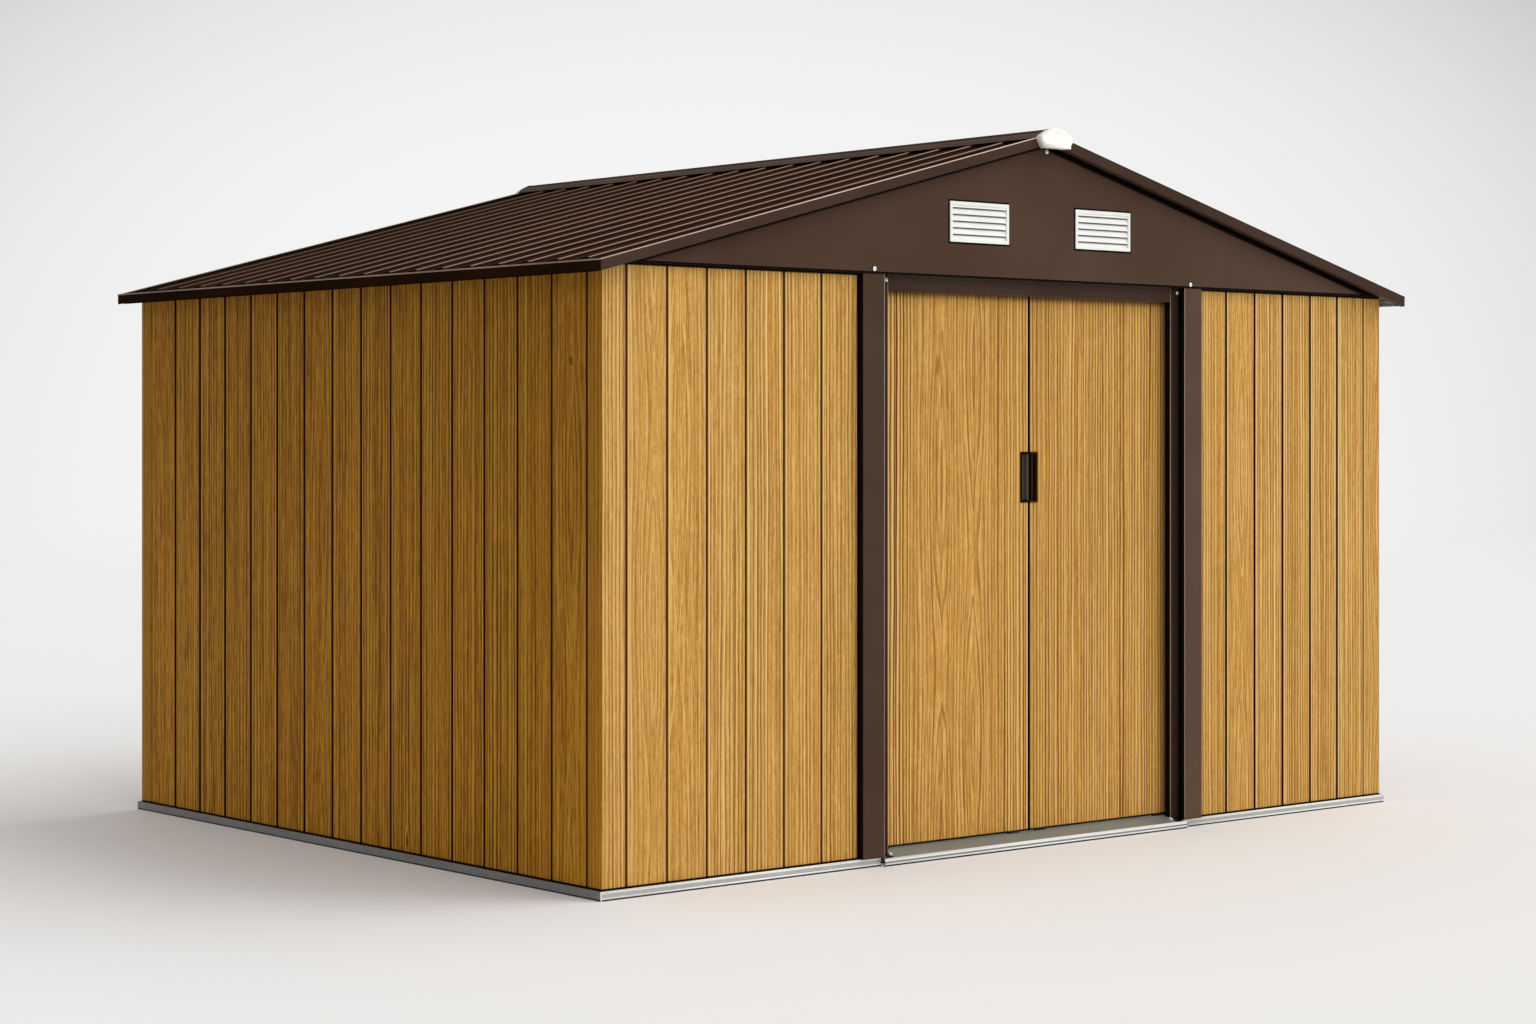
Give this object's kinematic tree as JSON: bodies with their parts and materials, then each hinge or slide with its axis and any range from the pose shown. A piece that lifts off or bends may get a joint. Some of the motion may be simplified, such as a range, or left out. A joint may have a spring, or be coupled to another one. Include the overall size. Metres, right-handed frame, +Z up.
{
  "type": "sheet-steel garden shed with wood-grain printed walls and sliding doors",
  "caption": "Gable-roofed steel garden shed with wood-grain printed wall panels, ribbed brown roof, louvred gable vents and a pair of sliding doors in a stepped frame.",
  "frame": {"origin": "on the ground, under the middle of the roof's plan", "axes": "+X to the right seen from the front, -Y out of the doorway, +Z up"},
  "size_m": [3.097, 2.481, 1.9723],
  "materials": {
    "wood_print_steel": "satin printed wood grain on coated steel",
    "door_wood_print": "satin printed wood grain on coated steel",
    "brown_trim": "satin brown paint",
    "brown_roof": "satin brown paint on ribbed sheet",
    "galvanised_steel": "galvanised",
    "white_louvre_plastic": "satin white",
    "cream_plastic": "satin off-white",
    "black_plastic": "fine satin black",
    "nylon": "black nylon"
  },
  "bodies": {
    "shed": {"front_left_wall": "wood_print_steel", "front_right_wall": "wood_print_steel", "left_wall": "wood_print_steel", "right_wall": "wood_print_steel", "rear_wall": "wood_print_steel", "front_left_corner": "wood_print_steel", "front_right_corner": "wood_print_steel", "rear_left_corner": "wood_print_steel", "rear_right_corner": "wood_print_steel", "left_jamb": "brown_trim", "right_jamb": "brown_trim", "door_header": "brown_trim", "front_gable": "brown_trim", "rear_gable": "brown_trim", "front_left_rake_trim": "brown_trim", "front_right_rake_trim": "brown_trim", "rear_left_rake_trim": "brown_trim", "rear_right_rake_trim": "brown_trim", "left_eave_trim": "brown_trim", "right_eave_trim": "brown_trim", "left_roof_sheet": "brown_roof", "right_roof_sheet": "brown_roof", "ridge_cap": "brown_roof", "left_base_rail": "galvanised_steel", "right_base_rail": "galvanised_steel", "front_left_base_rail": "galvanised_steel", "front_right_base_rail": "galvanised_steel", "rear_base_rail": "galvanised_steel", "door_sill": "galvanised_steel", "bottom_door_track": "galvanised_steel", "top_door_track": "galvanised_steel", "ridge_beam": "galvanised_steel", "roof_purlins": "galvanised_steel", "wall_top_rails": "galvanised_steel", "wall_braces": "galvanised_steel", "front_vents": "white_louvre_plastic", "rear_vents": "white_louvre_plastic", "front_ridge_end": "cream_plastic", "rear_ridge_end": "cream_plastic"},
    "left_door": {"left_door_panel": "door_wood_print", "left_door_pull": "black_plastic", "left_door_glides": "nylon"},
    "right_door": {"right_door_panel": "door_wood_print", "right_door_pull": "black_plastic", "right_door_glides": "nylon"}
  },
  "joints": [
    {"name": "left_door_slide", "type": "slide", "parent": "shed", "child": "left_door", "axis": [-1, 0, 0], "range_m": [0, 0.508]},
    {"name": "right_door_slide", "type": "slide", "parent": "shed", "child": "right_door", "axis": [1, 0, 0], "range_m": [0, 0.508]}
  ]
}
